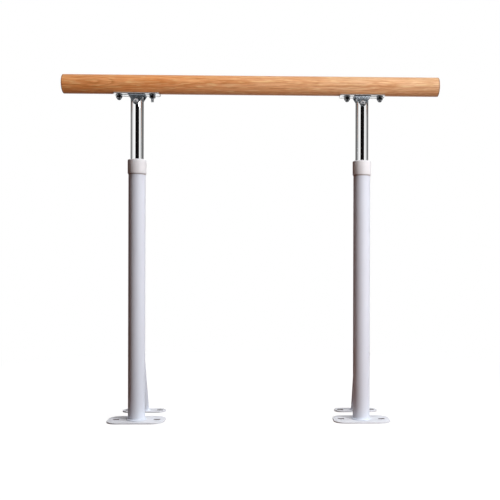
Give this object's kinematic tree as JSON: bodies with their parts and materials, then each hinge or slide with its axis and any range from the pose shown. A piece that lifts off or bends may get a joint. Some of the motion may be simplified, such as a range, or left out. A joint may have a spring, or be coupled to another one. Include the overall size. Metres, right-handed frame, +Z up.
{
  "type": "ballet barre",
  "caption": "Floor-standing ballet barre: a round wooden rail on two telescopic steel legs with pivoting brackets, rear braces and slotted floor plates.",
  "frame": {"origin": "on the floor, under the middle of the wooden rail and at the middle of the footprint's depth", "axes": "+X along the rail, +Y from the posts towards the braces, +Z up"},
  "size_m": [0.994, 0.1934, 0.914],
  "materials": {
    "wood": "satin clear lacquer over an orange-brown softwood grain",
    "white_paint": "gloss white powder coat",
    "chrome": "polished",
    "zinc": "bright zinc plate",
    "nylon": "moulded black nylon"
  },
  "bodies": {
    "base": {"left_post_tube": "white_paint", "left_post_collar": "white_paint", "left_guide_bush": "nylon", "left_lock_boss": "white_paint", "left_front_plate": "white_paint", "left_rear_plate": "white_paint", "left_brace": "white_paint", "right_post_tube": "white_paint", "right_post_collar": "white_paint", "right_guide_bush": "nylon", "right_lock_boss": "white_paint", "right_front_plate": "white_paint", "right_rear_plate": "white_paint", "right_brace": "white_paint"},
    "left_riser": {"left_riser_tube": "chrome", "left_riser_plug": "nylon", "left_riser_glide": "nylon", "left_pivot_bolt": "zinc", "left_pivot_nut": "zinc"},
    "rail": {"barre": "wood", "left_saddle_plate": "zinc", "left_clevis": "zinc", "left_outer_stud": "zinc", "left_outer_washer": "zinc", "left_outer_cap_nut": "zinc", "left_inner_stud": "zinc", "left_inner_washer": "zinc", "left_inner_hex_nut": "zinc", "right_saddle_plate": "zinc", "right_clevis": "zinc", "right_outer_stud": "zinc", "right_outer_washer": "zinc", "right_outer_cap_nut": "zinc", "right_inner_stud": "zinc", "right_inner_washer": "zinc", "right_inner_cap_nut": "zinc"},
    "right_riser": {"right_riser_tube": "chrome", "right_riser_plug": "nylon", "right_riser_glide": "nylon", "right_pivot_bolt": "zinc", "right_pivot_nut": "zinc"},
    "left_pad": {"left_lock_pad": "nylon"},
    "left_screw": {"left_lock_screw": "zinc"},
    "right_pad": {"right_lock_pad": "nylon"},
    "right_screw": {"right_lock_screw": "zinc"}
  },
  "joints": [
    {"name": "height", "type": "slide", "parent": "base", "child": "left_riser", "axis": [0, 0, 1], "range_m": [-0.125, 0.15]},
    {"name": "tilt", "type": "hinge", "parent": "left_riser", "child": "rail", "pos_m": [-0.3028, -0.05175, 0.8407], "axis": [0, -1, 0], "range_deg": [-1.5, 1.5]},
    {"name": "right_riser_swivel", "type": "hinge", "parent": "rail", "child": "right_riser", "pos_m": [0.2932, -0.05175, 0.8407], "axis": [0, -1, 0], "range_deg": [-1.5, 1.5]},
    {"name": "left_lock_travel", "type": "slide", "parent": "base", "child": "left_pad", "axis": [0, 1, 0], "range_m": [0, 0.0025]},
    {"name": "left_lock_turn", "type": "hinge", "parent": "left_pad", "child": "left_screw", "pos_m": [-0.3028, -0.05175, 0.671], "axis": [0, 1, 0], "range_deg": [0, 720]},
    {"name": "right_lock_travel", "type": "slide", "parent": "base", "child": "right_pad", "axis": [0, 1, 0], "range_m": [0, 0.0025]},
    {"name": "right_lock_turn", "type": "hinge", "parent": "right_pad", "child": "right_screw", "pos_m": [0.2932, -0.05175, 0.671], "axis": [0, 1, 0], "range_deg": [0, 720]}
  ],
  "couplings": [
    {"joint": "right_riser_swivel", "follows": "tilt", "ratio": -1},
    {"joint": "left_lock_travel", "follows": "left_lock_turn", "m_per_rad": 0.00019894},
    {"joint": "right_lock_travel", "follows": "right_lock_turn", "m_per_rad": 0.00019894}
  ]
}
